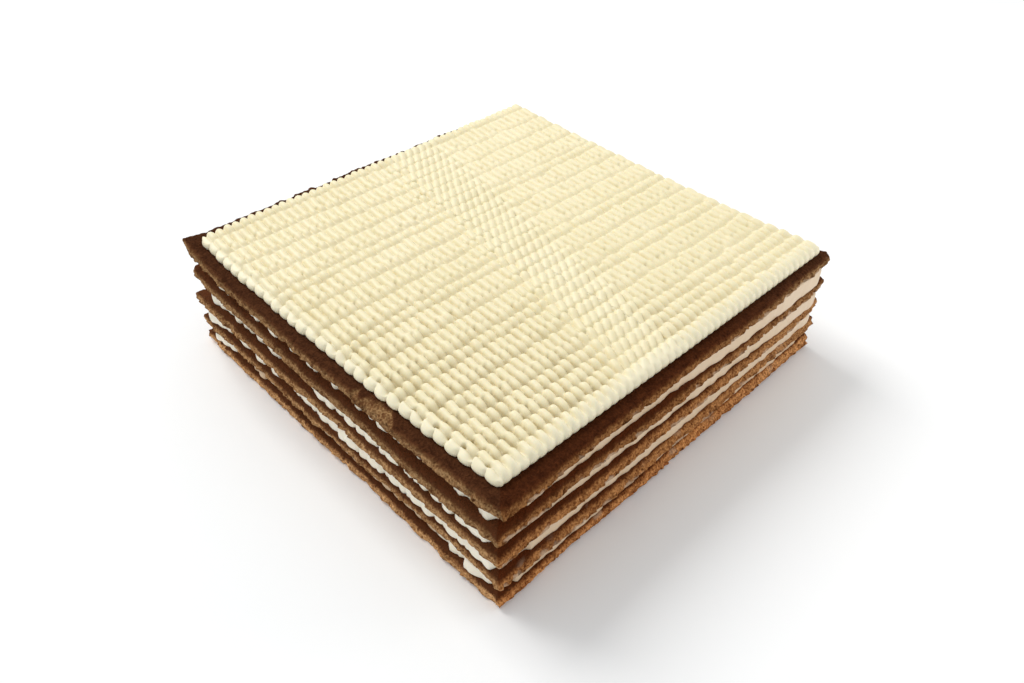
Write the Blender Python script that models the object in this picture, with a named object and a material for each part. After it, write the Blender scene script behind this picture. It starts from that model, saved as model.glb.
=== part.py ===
"""Square chocolate mille feuille: five thin sponge sheets, four cream layers and a piped cream top.

Metres, +Z up, the origin at the centre of the underside. The front cut side faces -Y and the
right cut side faces +X. A place round the square is one number: 0 is the left front corner,
1 the right front corner, 2 the right back corner, 3 the left back corner and 4 the start again.
"""
import math
import random

import bmesh
import bpy

# Driving dimensions of the stack
SIDE = 0.200
SHEET_THICKNESS = (0.0062, 0.0050, 0.0053, 0.0056, 0.0046)
CREAM_HEIGHT = (0.0055, 0.0061, 0.0062, 0.0080)
TOUCH_GAP = 0.0003
CENTRE_SHIFT = (0.00036, 0.00059)

# The flat middle of every sheet and layer ends here, and the rims bend beyond it up to a share of their lift
FLAT_HALF = 0.080
FLAT_POINTS_PER_SIDE = 8
LIFT_LIMIT = 1.05
SHARP_ANGLE = math.radians(40)
SAME_PLACE = 1e-6

# Stations round the square, and what the rims do there in metres
STATIONS = (0.0, 0.25, 0.5, 0.75, 1.0, 1.5, 2.0, 2.5, 3.0, 3.5)
RIM_LIFT = (
    (-0.0010, -0.0003, 0.0, 0.0, 0.0, 0.0, 0.0003, 0.0, 0.0, -0.0003),
    (-0.0020, -0.0020, -0.0012, -0.0008, 0.0002, -0.0005, 0.0006, 0.0, 0.0, -0.0008),
    (-0.0008, -0.0006, -0.0006, 0.0003, 0.0010, 0.0003, -0.0003, 0.0, 0.0, -0.0003),
    (0.0008, 0.0022, 0.0004, -0.0007, 0.0004, -0.0005, 0.0002, 0.0, 0.0, 0.0003),
    (0.0020, -0.0002, -0.0009, -0.0009, 0.0003, -0.0001, 0.0006, 0.0, 0.0005, 0.0012),
)
SIDE_BOW = (0.0006, 0.0015, 0.0019, 0.0017, 0.0, 0.0, 0.0002, 0.0004, 0.0004, 0.0008)

# Sponge sheets: points round the cut edge, its slow waves and its crags
SHEET_POINTS_PER_SIDE = 20
EDGE_WAVE = 0.0004
CRAG_DEPTH = 0.0006
CRAG_SHIFT = 0.3
CUT_UNDERCUT = 0.0005
CUT_BELLY = 0.45

# Cream between the sheets: lobes of the piping show at the front and back, ribs lie along the sides
LOBES = 30
RIBS_PER_SIDE = 12
LOBE_DEPTH = 0.0016
CREAM_RECESS = (
    (0.0026, 0.0024, 0.0024, 0.0022, 0.0016, 0.0016, 0.0012, 0.0030, 0.0032, 0.0030),
    (0.0020, 0.0026, 0.0022, 0.0014, 0.0012, 0.0008, 0.0008, 0.0030, 0.0030, 0.0028),
    (0.0024, 0.0034, 0.0028, 0.0020, 0.0018, 0.0008, 0.0006, 0.0030, 0.0030, 0.0028),
    (0.0038, 0.0036, 0.0034, 0.0034, 0.0026, 0.0014, 0.0006, 0.0030, 0.0030, 0.0034),
)
CORNER_RECESS = 0.0016
CORNER_REACH = 0.0040
RIB_DEPTH = 0.0003
RIBS_PER_WAVE = 3
CREAM_BELLY = 0.42
CREAM_FOOT_INSET = 0.0008
CREAM_BROW_INSET = 0.0012
CREAM_BROW_DROP = 0.0004

# Cream top: lanes of one or two lobes along X, short strokes in rows along Y
LANES = (1, 2, 2, 2, 2, 1, 2, 2, 2, 1, 2, 2, 1, 2, 2, 1, 1, 1, 1)
ROWS = 48
TOP_LEFT = -0.0940
TOP_RIGHT_FRONT = 0.0934
TOP_RIGHT_BACK = 0.0958
TOP_FRONT = -0.0943
TOP_FRONT_BOW = 0.0009
TOP_BACK = (0.0972, 0.0957, 0.0952, 0.0944, 0.0944, 0.0958)
LANE_SWAY = 0.0006
CREST_HEIGHT = 0.0054
TAIL_HEIGHT = 0.0047
GROOVE_HEIGHT = 0.0035
CREST_SPREAD = 0.0004
GROOVE_SPREAD = 0.0003
STROKE_SHIFT = 0.0003
CROWN_RISE = 0.0004
HEAD_INSET = 0.0018
TAIL_INSET = 0.0027
LOBE_BULGE = 0.0011
ROW_END_BULGE = 0.0010
ROW_END_SPREAD = 0.0004
WALL_BULGE = 0.0005
WALL_FOOT_INSET = 0.0004
WALL_FOOT_RISE = 0.0001
BAND_SLOPE = -0.187
BAND_MIDDLE = 0.004
BAND_HALF_WIDTH = 0.013
BAND_TILT = 0.0014

# Colours and roughness
SPONGE_LOOK = ((0.145, 0.062, 0.026), 0.85)
FILLING_LOOK = ((0.80, 0.72, 0.55), 0.45)
TOPPING_LOOK = ((0.90, 0.80, 0.55), 0.40)


def sheet_floor(sheet):
    """Height of the underside of a sheet, counted from 0 at the bottom."""
    return sum(SHEET_THICKNESS[:sheet]) + sum(CREAM_HEIGHT[:sheet])


def sheet_top(sheet):
    """Height of the upper face of a sheet."""
    return sheet_floor(sheet) + SHEET_THICKNESS[sheet]


def smooth_step(share):
    """Eases a share from 0 to 1."""
    return share * share * (3 - 2 * share)


def at_station(values, place):
    """Value at a place round the square, eased between the stations."""
    place = place % 4
    last = len(STATIONS) - 1
    index = max(i for i in range(last + 1) if STATIONS[i] <= place + SAME_PLACE)
    start = STATIONS[index]
    end = STATIONS[index + 1] if index < last else 4.0
    following = values[index + 1] if index < last else values[0]
    share = smooth_step((place - start) / (end - start))
    return values[index] + (following - values[index]) * share


def square_point(place, half):
    """Point on a square of the given half side, and the outward direction there."""
    place = place % 4
    side = int(place)
    share = (place - side) * 2 - 1
    corner = abs(abs(share) - 1) < SAME_PLACE
    along = ((1, 0), (0, 1), (-1, 0), (0, -1))[side]
    out = ((0, -1), (1, 0), (0, 1), (-1, 0))[side]
    x = (out[0] + along[0] * share) * half
    y = (out[1] + along[1] * share) * half
    if corner:
        out = (out[0] + along[0] * share, out[1] + along[1] * share)
    return x, y, out


def edge_wave(sheet, place):
    """Slow waves of a sheet's cut edge in plan, its own for each sheet."""
    draw = random.Random(100 + sheet)
    wave = 0.0
    for turns in (5, 8, 13):
        wave += math.sin(place / 4 * 2 * math.pi * turns + draw.uniform(0, 2 * math.pi))
    return EDGE_WAVE * wave / 2


def rim_point(place, outset, height, lift):
    """Point of a rim at a distance outside the nominal square, its lift growing from the flat middle."""
    x, y, out = square_point(place, SIDE / 2)
    x += out[0] * outset
    y += out[1] * outset
    reach = max(abs(x), abs(y))
    share = max(0.0, (reach - FLAT_HALF) / (SIDE / 2 - FLAT_HALF))
    return x + CENTRE_SHIFT[0], y + CENTRE_SHIFT[1], height + lift * min(share, LIFT_LIMIT)


def flat_ring(height):
    """Places and points of the square where the flat middle ends."""
    places = [i / FLAT_POINTS_PER_SIDE for i in range(4 * FLAT_POINTS_PER_SIDE)]
    points = []
    for place in places:
        x, y, _ = square_point(place, FLAT_HALF)
        points.append((x + CENTRE_SHIFT[0], y + CENTRE_SHIFT[1], height))
    return places, points


def join_rings(mesh, lower, upper):
    """Quads between two rings with the same number of points."""
    count = len(lower)
    for i in range(count):
        after = (i + 1) % count
        mesh.faces.new((lower[i], lower[after], upper[after], upper[i]))


def stitch_rings(mesh, outer, outer_places, inner, inner_places):
    """Triangles between two rings with different numbers of points, matched by place."""
    i = 0
    j = 0
    while i < len(outer) or j < len(inner):
        next_outer = outer_places[i + 1] if i + 1 < len(outer) else 4.0
        next_inner = inner_places[j + 1] if j + 1 < len(inner) else 4.0
        here = outer[i % len(outer)]
        there = inner[j % len(inner)]
        if j >= len(inner) or (i < len(outer) and next_outer <= next_inner):
            mesh.faces.new((here, outer[(i + 1) % len(outer)], there))
            i += 1
        else:
            mesh.faces.new((here, inner[(j + 1) % len(inner)], there))
            j += 1


def close_with_flat(mesh, ring, places, height):
    """Closes a rim with a sloping band and a flat square middle."""
    flat_places, flat_points = flat_ring(height)
    flat = [mesh.verts.new(point) for point in flat_points]
    stitch_rings(mesh, ring, places, flat, flat_places)
    mesh.faces.new(flat)


def finish_mesh(mesh, name, material, collection):
    """Turns a bmesh into a closed object with its faces pointing out."""
    bmesh.ops.recalc_face_normals(mesh, faces=mesh.faces)
    bmesh.ops.triangulate(mesh, faces=mesh.faces)
    data = bpy.data.meshes.new(name)
    mesh.to_mesh(data)
    mesh.free()
    data.shade_smooth()
    data.set_sharp_from_angle(angle=SHARP_ANGLE)
    data.materials.append(material)
    thing = bpy.data.objects.new(name, data)
    collection.objects.link(thing)
    return thing


def make_sheet(sheet, material, collection):
    """One sponge sheet: flat faces, a bent rim and a crumbly cut edge."""
    draw = random.Random(200 + sheet)
    count = 4 * SHEET_POINTS_PER_SIDE
    places = []
    for i in range(count):
        shake = 0.0 if i % SHEET_POINTS_PER_SIDE == 0 else draw.uniform(-CRAG_SHIFT, CRAG_SHIFT)
        places.append((i + shake) / SHEET_POINTS_PER_SIDE)
    floor = sheet_floor(sheet)
    top = sheet_top(sheet)
    lifts = RIM_LIFT[sheet]
    lower_lifts = lifts if sheet else (0.0,) * len(STATIONS)
    mesh = bmesh.new()
    rings = []
    for share, inset in ((0.0, CUT_UNDERCUT), (CUT_BELLY, 0.0), (1.0, CUT_UNDERCUT / 2)):
        height = floor + (top - floor) * share
        ring = []
        for place in places:
            lift = at_station(lower_lifts, place) * (1 - share) + at_station(lifts, place) * share
            outset = at_station(SIDE_BOW, place) + edge_wave(sheet, place) - inset
            outset += draw.uniform(-CRAG_DEPTH, CRAG_DEPTH)
            ring.append(mesh.verts.new(rim_point(place, outset, height, lift)))
        rings.append(ring)
    join_rings(mesh, rings[0], rings[1])
    join_rings(mesh, rings[1], rings[2])
    close_with_flat(mesh, rings[0], places, floor)
    close_with_flat(mesh, rings[2], places, top)
    return finish_mesh(mesh, "sponge_%d" % (sheet + 1), material, collection)


def cream_places():
    """Places round a cream layer: crown and notch of each lobe, and the ribs of the plain sides."""
    places = []
    for side in range(4):
        steps = 2 * LOBES if side % 2 == 0 else RIBS_PER_SIDE
        places += [side + i / steps for i in range(steps)]
    return places


def cream_outset(layer, place):
    """Distance of a cream layer's rim outside the nominal square, with the lobes of the piping."""
    outset = at_station(SIDE_BOW, place) - at_station(CREAM_RECESS[layer], place)
    side = int(place) % 4
    share = place % 1
    corner_distance = min(share, 1 - share) * SIDE
    outset -= CORNER_RECESS * max(0.0, 1 - corner_distance / CORNER_REACH)
    if side % 2 == 0:
        outset += LOBE_DEPTH * (abs(math.sin(math.pi * share * LOBES)) - 0.5)
    else:
        outset += RIB_DEPTH * math.sin(2 * math.pi * share * RIBS_PER_SIDE / RIBS_PER_WAVE + layer)
    return outset


def make_cream_layer(layer, material, collection):
    """One cream layer that runs through between two sheets, its rim lobed and rounded."""
    places = cream_places()
    floor = sheet_top(layer) + TOUCH_GAP
    top = sheet_floor(layer + 1) - TOUCH_GAP
    below = RIM_LIFT[layer]
    above = RIM_LIFT[layer + 1]
    mesh = bmesh.new()
    rings = []
    foot = (0.0, CREAM_FOOT_INSET, 0.0)
    belly = (CREAM_BELLY, 0.0, 0.0)
    brow = (1.0, CREAM_BROW_INSET, CREAM_BROW_DROP)
    for share, inset, drop in (foot, belly, brow):
        height = floor + (top - floor) * share - drop
        ring = []
        for place in places:
            lift = at_station(below, place) * (1 - share) + at_station(above, place) * share
            outset = cream_outset(layer, place) - inset
            ring.append(mesh.verts.new(rim_point(place, outset, height, lift)))
        rings.append(ring)
    join_rings(mesh, rings[0], rings[1])
    join_rings(mesh, rings[1], rings[2])
    close_with_flat(mesh, rings[0], places, floor)
    close_with_flat(mesh, rings[2], places, top)
    return finish_mesh(mesh, "cream_%d" % (layer + 1), material, collection)


def top_place(x, y):
    """Place round the square of a point on the cream top."""
    half = SIDE / 2
    if -y >= abs(x):
        return (x + half) / SIDE
    if x >= abs(y):
        return 1 + (y + half) / SIDE
    if y >= abs(x):
        return 2 + (half - x) / SIDE
    return (3 + (half - y) / SIDE) % 4


def top_surface_lift(x, y):
    """How far the upper face of the top sheet is bent at a point."""
    reach = max(abs(x), abs(y))
    share = max(0.0, (reach - FLAT_HALF) / (SIDE / 2 - FLAT_HALF))
    return at_station(RIM_LIFT[-1], top_place(x, y)) * min(share, 1.0)


def back_line(x):
    """Y of the back end of the cream top, a slow wave through a few widths."""
    share = (x - TOP_LEFT) / (TOP_RIGHT_BACK - TOP_LEFT) * (len(TOP_BACK) - 1)
    share = min(max(share, 0.0), len(TOP_BACK) - 1.001)
    index = int(share)
    return TOP_BACK[index] + (TOP_BACK[index + 1] - TOP_BACK[index]) * smooth_step(share - index)


def front_line(x):
    """Y of the front end of the cream top, bowed forward a little in the middle."""
    return TOP_FRONT - TOP_FRONT_BOW * math.cos(math.pi * x / SIDE)


def top_point(lobe, row):
    """Plan position on the cream top, by lobes from the left and rows from the front."""
    share_y = row / ROWS
    right = TOP_RIGHT_FRONT + (TOP_RIGHT_BACK - TOP_RIGHT_FRONT) * share_y
    sway = LANE_SWAY * math.sin(share_y * 7.0 + lobe * 0.9) * math.sin(math.pi * lobe / LOBES)
    x = TOP_LEFT + (right - TOP_LEFT) * lobe / LOBES + sway
    y = front_line(x) + (back_line(x) - front_line(x)) * share_y
    return x, y


def band_tilt(x, y):
    """Sideways shift of a stroke's head where the diagonal band of slanted strokes crosses the top."""
    distance = abs(y - (BAND_MIDDLE + BAND_SLOPE * x))
    return BAND_TILT * smooth_step(max(0.0, 1 - distance / (2 * BAND_HALF_WIDTH)))


def top_vertex(mesh, x, y, height):
    """Vertex of the cream top at a height over the top sheet."""
    base = sheet_top(len(SHEET_THICKNESS) - 1) + TOUCH_GAP
    z = base + height + top_surface_lift(x, y)
    return mesh.verts.new((x + CENTRE_SHIFT[0], y + CENTRE_SHIFT[1], z))


def lane_edges():
    """Lobes counted from the left at every lane's edge."""
    edges = [0]
    for lobes in LANES:
        edges.append(edges[-1] + lobes)
    return edges


def make_strokes(mesh, draw):
    """The piped strokes as low ridges, returning the rim as front, right, back and left rows."""
    edges = lane_edges()
    grooves = []
    for row in range(ROWS + 1):
        inner = row not in (0, ROWS)
        grooves.append([])
        for lobe in edges:
            x, y = top_point(lobe, row)
            sink = draw.uniform(-GROOVE_SPREAD, GROOVE_SPREAD) if inner else 0.0
            grooves[row].append(top_vertex(mesh, x, y, GROOVE_HEIGHT + sink))
    fronts = [grooves[0][0]]
    backs = [grooves[ROWS][0]]
    lefts = [grooves[0][0]]
    for row in range(ROWS):
        for lane, lobes in enumerate(LANES):
            near_left, near_right = grooves[row][lane], grooves[row][lane + 1]
            far_left, far_right = grooves[row + 1][lane], grooves[row + 1][lane + 1]
            head, tail = stroke_ridge(mesh, draw, edges[lane], lobes, row)
            if row == 0:
                rim = rim_lobes(mesh, edges[lane], lobes, 0, -1)
                close_row_end(mesh, near_left, near_right, head, tail, rim)
                fronts += rim + [near_right]
            else:
                mesh.faces.new((near_left, near_right, tail, head))
            if row == ROWS - 1:
                rim = rim_lobes(mesh, edges[lane], lobes, ROWS, 1)
                close_row_end(mesh, far_left, far_right, head, tail, rim)
                backs += rim + [far_right]
            else:
                mesh.faces.new((head, tail, far_right, far_left))
            mesh.faces.new((near_right, far_right, tail))
            if lane == 0:
                end = row_end(mesh, draw, row)
                mesh.faces.new((near_left, head, end))
                mesh.faces.new((end, head, far_left))
                lefts += [end, far_left]
            else:
                mesh.faces.new((near_left, head, far_left))
    rights = [grooves[row][-1] for row in range(ROWS + 1)]
    return fronts, rights, backs, lefts


def stroke_ridge(mesh, draw, lobe, lobes, row):
    """The two ends of a stroke's crest: a high rounded head and a lower tail."""
    width = (TOP_RIGHT_BACK - TOP_LEFT) / LOBES
    shift = draw.uniform(-STROKE_SHIFT, STROKE_SHIFT)
    head_x, head_y = top_point(lobe + HEAD_INSET / width, row + 0.5)
    tail_x, tail_y = top_point(lobe + lobes - TAIL_INSET / width, row + 0.5)
    tilt = band_tilt(head_x, head_y)
    head_height = CREST_HEIGHT + draw.uniform(-CREST_SPREAD, CREST_SPREAD)
    tail_height = TAIL_HEIGHT + draw.uniform(-CREST_SPREAD, CREST_SPREAD)
    head = top_vertex(mesh, head_x + shift, head_y + tilt, head_height)
    tail = top_vertex(mesh, tail_x + shift, tail_y - tilt, tail_height)
    return head, tail


def rim_lobes(mesh, lobe, lobes, row, outward):
    """Round lobes of the piping at the front or back end of a lane, with a notch in a pair."""
    rim = []
    for i in range(2 * lobes - 1):
        crown = i % 2 == 0
        x, y = top_point(lobe + 0.5 + i / 2, row)
        y += outward * (LOBE_BULGE if crown else 0.0)
        rim.append(top_vertex(mesh, x, y, GROOVE_HEIGHT + (CROWN_RISE if crown else 0.0)))
    return rim


def close_row_end(mesh, left, right, head, tail, rim):
    """Faces between a row's crest and the lobes at the end of its lane."""
    line = [left] + rim + [right]
    middle = len(line) // 2
    for i in range(len(line) - 1):
        apex = head if i < middle else tail
        mesh.faces.new((line[i], line[i + 1], apex))
    mesh.faces.new((line[middle], tail, head))


def row_end(mesh, draw, row):
    """Rounded end of a stroke at the left side of the cream top."""
    x, y = top_point(0, row + 0.5)
    x -= ROW_END_BULGE + draw.uniform(-ROW_END_SPREAD, ROW_END_SPREAD)
    return top_vertex(mesh, x, y, GROOVE_HEIGHT + CROWN_RISE)


def wall_ring(mesh, rim, outset, height):
    """A ring under the rim of the cream top, moved out or in from it."""
    middle_x, middle_y = CENTRE_SHIFT
    ring = []
    for vertex in rim:
        x = vertex.co.x - middle_x
        y = vertex.co.y - middle_y
        if abs(y) > abs(x):
            y += math.copysign(outset, y)
        else:
            x += math.copysign(outset, x)
        ring.append(top_vertex(mesh, x, y, height))
    return ring


def make_cream_top(material, collection):
    """The piped top: strokes in lanes, a lobed wall round them and a flat underside."""
    draw = random.Random(300)
    mesh = bmesh.new()
    fronts, rights, backs, lefts = make_strokes(mesh, draw)
    rim = fronts + rights[1:] + backs[-2::-1] + lefts[-2:0:-1]
    belly = wall_ring(mesh, rim, WALL_BULGE, GROOVE_HEIGHT / 2)
    foot = wall_ring(mesh, rim, -WALL_FOOT_INSET, WALL_FOOT_RISE)
    join_rings(mesh, rim, belly)
    join_rings(mesh, belly, foot)
    places = []
    for vertex in foot:
        places.append(top_place(vertex.co.x - CENTRE_SHIFT[0], vertex.co.y - CENTRE_SHIFT[1]))
    places = order_places(places)
    close_with_flat(mesh, foot, places, sheet_top(len(SHEET_THICKNESS) - 1) + TOUCH_GAP)
    return finish_mesh(mesh, "cream_top", material, collection)


def order_places(places):
    """Keeps places rising from 0 to under 4 where a corner would turn one back."""
    ordered = []
    for i, place in enumerate(places):
        if i < len(places) // 4 and place > 3:
            place = 0.0
        if i > len(places) * 3 // 4 and place < 1:
            place = 3.999
        ordered.append(max(place, ordered[-1]) if ordered else 0.0)
    return ordered


def make_material(name, colour, roughness):
    """A plain material with a colour and a roughness."""
    material = bpy.data.materials.new(name)
    material.use_nodes = True
    shader = material.node_tree.nodes["Principled BSDF"]
    shader.inputs["Base Color"].default_value = (*colour, 1.0)
    shader.inputs["Roughness"].default_value = roughness
    shader.inputs["Metallic"].default_value = 0.0
    return material


def clear_scene():
    """Removes what the scene holds at the start."""
    for thing in list(bpy.data.objects):
        bpy.data.objects.remove(thing, do_unlink=True)


def main():
    clear_scene()
    collection = bpy.data.collections.new("mille_feuille")
    bpy.context.scene.collection.children.link(collection)
    sponge = make_material("chocolate_sponge", *SPONGE_LOOK)
    cream = make_material("filling_cream", *FILLING_LOOK)
    topping = make_material("piped_cream", *TOPPING_LOOK)
    for sheet in range(len(SHEET_THICKNESS)):
        make_sheet(sheet, sponge, collection)
    for layer in range(len(CREAM_HEIGHT)):
        make_cream_layer(layer, cream, collection)
    make_cream_top(topping, collection)


main()
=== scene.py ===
"""Looks of the square chocolate mille feuille: crumbly sponge sheets, piped cream, floor, light and camera.

A place round the square is one number, as in the solids: 0 is the left front corner, 1 the right
front corner, 2 the right back corner, 3 the left back corner and 4 the start again.
"""
import math
import random

import bpy
import numpy as np
from mathutils import Matrix, Vector


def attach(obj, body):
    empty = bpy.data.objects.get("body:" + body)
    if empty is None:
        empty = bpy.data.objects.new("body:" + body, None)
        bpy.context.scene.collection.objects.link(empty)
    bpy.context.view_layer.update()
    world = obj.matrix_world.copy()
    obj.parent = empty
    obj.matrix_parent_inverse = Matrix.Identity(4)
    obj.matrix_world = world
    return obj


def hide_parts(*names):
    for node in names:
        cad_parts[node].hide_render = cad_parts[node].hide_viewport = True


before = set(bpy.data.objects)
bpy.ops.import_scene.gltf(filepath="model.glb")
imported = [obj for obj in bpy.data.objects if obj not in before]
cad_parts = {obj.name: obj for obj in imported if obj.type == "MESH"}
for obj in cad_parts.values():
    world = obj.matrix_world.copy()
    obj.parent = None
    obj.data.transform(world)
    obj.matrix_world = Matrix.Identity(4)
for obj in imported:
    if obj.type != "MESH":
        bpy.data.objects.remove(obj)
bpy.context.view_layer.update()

# The stack's driving dimensions, as in the solids
SIDE = 0.2
HALF = SIDE / 2
SHEET_THICKNESS = (0.0062, 0.005, 0.0053, 0.0056, 0.0046)
CREAM_HEIGHT = (0.0055, 0.0061, 0.0062, 0.008)
CENTRE_SHIFT = np.array((0.00036, 0.00059))
FLAT_HALF = 0.08
STATIONS = (0.0, 0.25, 0.5, 0.75, 1.0, 1.5, 2.0, 2.5, 3.0, 3.5)
# How far each sheet's rim is lifted at the stations, in millimetres
RIM_LIFT = (
    (-1, -0.3, 0, 0, 0, 0, 0.3, 0, 0, -0.3),
    (-2, -2, -1.2, -0.8, 0.2, -0.5, 0.6, 0, 0, -0.8),
    (-0.8, -0.6, -0.6, 0.3, 1, 0.3, -0.3, 0, 0, -0.3),
    (0.8, 2.2, 0.4, -0.7, 0.4, -0.5, 0.2, 0, 0, 0.3),
    (2, -0.2, -0.9, -0.9, 0.3, -0.1, 0.6, 0, 0.5, 1.2),
)
EDGE_WAVE = 0.0004
EDGE_TURNS = (5, 8, 13)
# How far the sheets' upper and lower cut edges stand outside the nominal square, in millimetres, at
# places along the front, right, back and left sides
EDGE_PLACES = (
    (-0.1, -0.05, 0.0, 0.05, 0.09, 0.1),
    (-0.1, -0.054, 0.05, 0.1),
    (-0.1, 0.0, 0.1),
    (-0.1, 0.0, 0.085, 0.1),
)
FRONT_BOW = (0.6, 1.6, 2, 1.8, 1.8, 1.6)
FRONT_UPPER = ((0.6, 1.5, 1.9, 1.7, 1.7, 1.5),) * 4 + ((0.6, 1.5, 1.9, 1.6, 0.8, 0.3),)
FRONT_LOWER = (FRONT_BOW, (0.4, 0.9, 1.2, 1, 1.3, 1.4), FRONT_BOW, FRONT_BOW, (0.6, 1.6, 2, 1.8, 1.8, 0.2))
RIGHT_UPPER = ((0.3, 0.6, -0.3, 0), (0.6, 0.5, 0.6, 0.3), (0.3, 0.3, 0.9, 0.4), (0, 0, 0.7, 0.6),
               (0.3, 0.1, 0.7, 0.3))
RIGHT_LOWER = ((1.6, 1.7, 1.5, 1.2), (1.6, 2.1, 1.5, 0.8), (1.2, 1.6, 1, 0.6), (0.4, 0.3, 0.6, 0.2),
               (1.8, 0.4, 1.1, 0.4))
BACK_EDGE = (0.2, 0.4, 0.4)
LEFT_EDGE = ((0.4, 0.8, 0.6, 0.6), (0.4, 0.8, 0.6, 0.6), (0.4, 0.8, 0.6, 0.4), (0.4, 0.8, 0.4, -2.2),
             (0.6, 1.4, 2.2, 1.2))

# Seeds of random numbers; sheets and layers add their own number to the first three
PIT_SEED = 31
EDGE_SEED = 100
LOBE_SEED = 400
STROKE_SEED = 500
HOLE_SEED = 520
RIM_SEED = 600

# Sponge sheets: how finely they are made, their sharp corners and the insets of their sections
SHEET_STEPS = 330
SHEET_CORNER = 0.0006
UNDERSIDE_INSETS = (0.02, 0.012, 0.007, 0.004, 0.002, 0.0009)
UNDERSIDE_ROUND = ((0.0002, 0.00002), (0.0, 0.0002))
CUT_START = 0.0007
CUT_END = 0.0018
CUT_STEPS = 7
TOP_ROUND = ((0.00008, 0.0012), (0.00034, 0.0007), (0.0008, 0.0003), (0.0014, 0.00008))
TOP_INSETS = (0.002, 0.0026, 0.0033, 0.0041, 0.005, 0.0062, 0.0079, 0.01, 0.0135, 0.02)
# How far in the rim's outline fades out, the plain middle starts and the crumb's relief ends
RIM_FADE = 0.012
MIDDLE_INSET = 0.011
RELIEF_INSET = 0.0022
# Crumb relief: its noise as a size and a seed, to which each sheet adds its number, how strong it is,
# its pits, and how it goes on over the top face
COARSE_NOISE = (0.0036, 11)
FINE_NOISE = (0.0015, 21)
CRUST_NOISE = (0.0014, 41)
COARSE_RELIEF = 0.00078
FINE_RELIEF = 0.00076
CRUST_RELIEF = 0.0001
PIT_CELL = 0.0023
PIT_DEPTH = 0.0012
PITLESS = 0.35
PIT_SPREAD = 0.8
TOP_CALM = 0.7
TOP_RISE = 0.6
RAGGED_DROP = 0.00095
RAGGED_SHARE = 0.15
# The lowest sheet's outermost edge doesn't quite touch what it lies on, least of all on the right
FOOT_LIFT = (0.0005, 0.002)
FOOT_REACH = 0.008
# RISE and FALL pairs are where a share starts to rise, or ends its fall, and over what length
TOP_FACE_RISE = (0.0002, 0.0014)
# Where the crust fades into crumb on the cut edge, and how much the relief breaks it up
CRUST_END = 1.03
CRUST_BLEND = 0.52
COARSE_BREAK = 0.2
FINE_BREAK = 0.14
# How much thinner each dark crust is at the back of the right cut edge, as shares of its height
CRUST_LOSS = (0.3, 0.3, 0.22, 0.12, 0.0)
CRUST_LOSS_RISE = (-0.06, 0.08)
# The torn strip of skin at the front of the top sheet
TORN_SLANT = 1.5
TORN_REACH = 0.0036
TORN_GROWTH = (0.01, 0.034)
TORN_RISE = (0.014, 0.004)
TORN_FALL = (0.0489, 0.0008)
TORN_NOISE = (0.0035, 71)
TORN_WOBBLE = 0.0011
TORN_EDGE = 0.0005
TORN_LIMIT = 0.012
TORN_CRUMB = 0.85
TORN_DEPTH = 0.0008
TORN_ROUGHNESS = 0.0004
# Smears of cream: pale tips at the foot of a cut edge and dragged streaks under its crust
SMEAR_SQUASH = 0.004
TIP_NOISE = (0.0065, 91)
TIP_RISE = (0.25, 0.5)
TIP_FALL = (0.34, 0.16)
DRAG_NOISE = (0.009, 95)
DRAG_RISE = (0.45, 0.4)
HIGH_RISE = (0.55, 0.2)
HIGH_FALL = (1, 0.08)
DRAG_STRENGTH = 0.5
# How much further the tips curl up at the left front and right back corners, and how far in
TIP_CURL = ((0.0, 0.0012), (0.0, 0.0012), (0.0004, 0.0022), (0.0032, 0.0006), (0.0022, 0.0))
TIP_REACH = (0.014, 0.009)
# How light each sheet's crumb is, lower sheets partly painted lighter for light bounced up from the floor,
# and how much redder and darker painted shade makes it along the right side, less towards the back corner
SHEET_TONE_AND_BOUNCE_LIGHT = (1.72, 1.25, 1.22, 0.95, 0.86)
RIGHT_SHADE_TINT = (0.9, 0.7, 0.54, 1)
RIGHT_SHADE_FADE = (0.3, 0.4, 0.4, 0.5, 1.0)
# Colours of the crust on top and on the hidden sheets, the hidden sheets' crust painted lighter and redder
# against the shade between the layers, and of the crumb from dark to pale
CRUST = (0.04, 0.012, 0.0042)
INNER_CRUST_PAINTED_LIGHTER = (0.132, 0.0415, 0.015)
CRUMB_TONES = ((0.16, (0.1, 0.035, 0.0135)), (0.42, (0.19, 0.084, 0.032)),
               (0.68, (0.34, 0.182, 0.076)), (1.0, (0.54, 0.315, 0.145)))

# Cream between the sheets
LOBES = 30
LAYER_STEPS = 280
LAYER_CORNER = 0.003
LOBE_DEPTH = 0.0008
FRONT_BULGE = 0.0012
SIDE_BULGE = 0.0003
# How far back each layer stays at the stations, in millimetres
CREAM_RECESS = (
    (3, 2.4, 2.2, 2.2, 2.6, 2.6, 2.2, 3, 3.2, 3),
    (2.2, 3.4, 3.6, 2.4, 2.2, 1.8, 1.8, 3, 3, 2.8),
    (3, 4.2, 4, 3.6, 3, 1.7, 1.6, 3, 3, 2.8),
    (4.6, 4.6, 4.6, 4.6, 4, 4.6, 2.6, 3, 3, 3.4),
)
# How far back each layer stays on the left side towards the front corner
LEFT_END_RECESS = (0.007, 0.006, 0.011, 0.009)
LEFT_END_REACH = 0.04
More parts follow.
